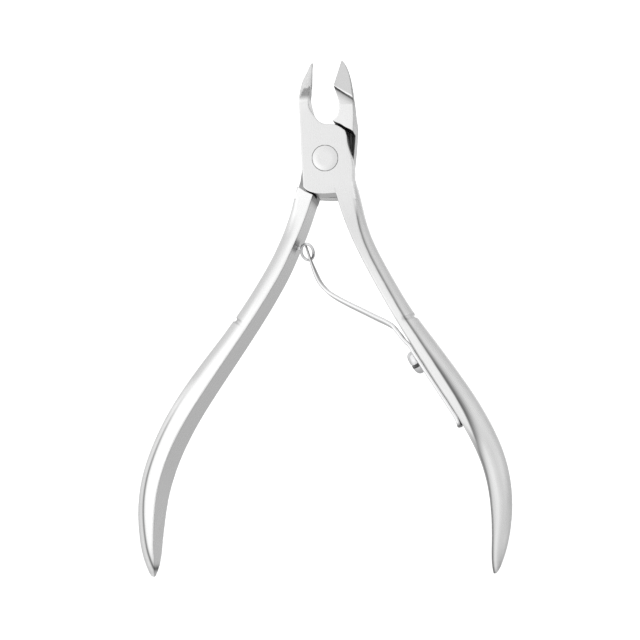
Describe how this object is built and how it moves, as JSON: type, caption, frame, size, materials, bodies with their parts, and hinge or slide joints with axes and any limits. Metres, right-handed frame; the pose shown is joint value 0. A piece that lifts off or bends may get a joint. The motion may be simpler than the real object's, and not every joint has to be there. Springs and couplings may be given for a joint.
{
  "type": "cuticle nipper",
  "caption": "Lap-joint cuticle nipper with bowed handles, tapered half jaws, a flush pivot rivet and a leaf spring held by a wire loop.",
  "frame": {"origin": "where the pivot axis leaves the flat rear face of the joint", "axes": "+Z towards the jaws, +X to the right seen from the front, +Y out of the rear face along the pivot axis, so the front face looks along -Y"},
  "size_m": [0.0762, 0.0088, 0.1056],
  "materials": {
    "front_lever": "satin ground stainless steel, fine scratches along the handles",
    "rear_lever": "satin ground stainless steel, fine scratches along the handles",
    "rivet": "ground flush with the joint face",
    "spring": "bright rolled spring steel with rounded edges",
    "screw": "bright nickel",
    "keeper": "bright drawn wire"
  },
  "bodies": {
    "rear_lever": {"rear_lever": "rear_lever", "pivot_rivet": "rivet", "spring_keeper": "keeper"},
    "front_lever": {"front_lever": "front_lever", "spring_root": "spring", "spring_screw": "screw"},
    "spring_blade": {"spring_blade": "spring"}
  },
  "joints": [
    {"name": "jaw_pivot", "type": "hinge", "parent": "rear_lever", "child": "front_lever", "pos_m": [0, -0.003, 0], "axis": [0, 1, 0], "range_deg": [0, 15.6]},
    {"name": "spring_flex", "type": "hinge", "parent": "front_lever", "child": "spring_blade", "pos_m": [0.0138, -0.003, -0.03398], "axis": [0, 1, 0], "range_deg": [0, 13.5]}
  ],
  "couplings": [
    {"joint": "spring_flex", "follows": "jaw_pivot", "ratio": 0.86}
  ]
}
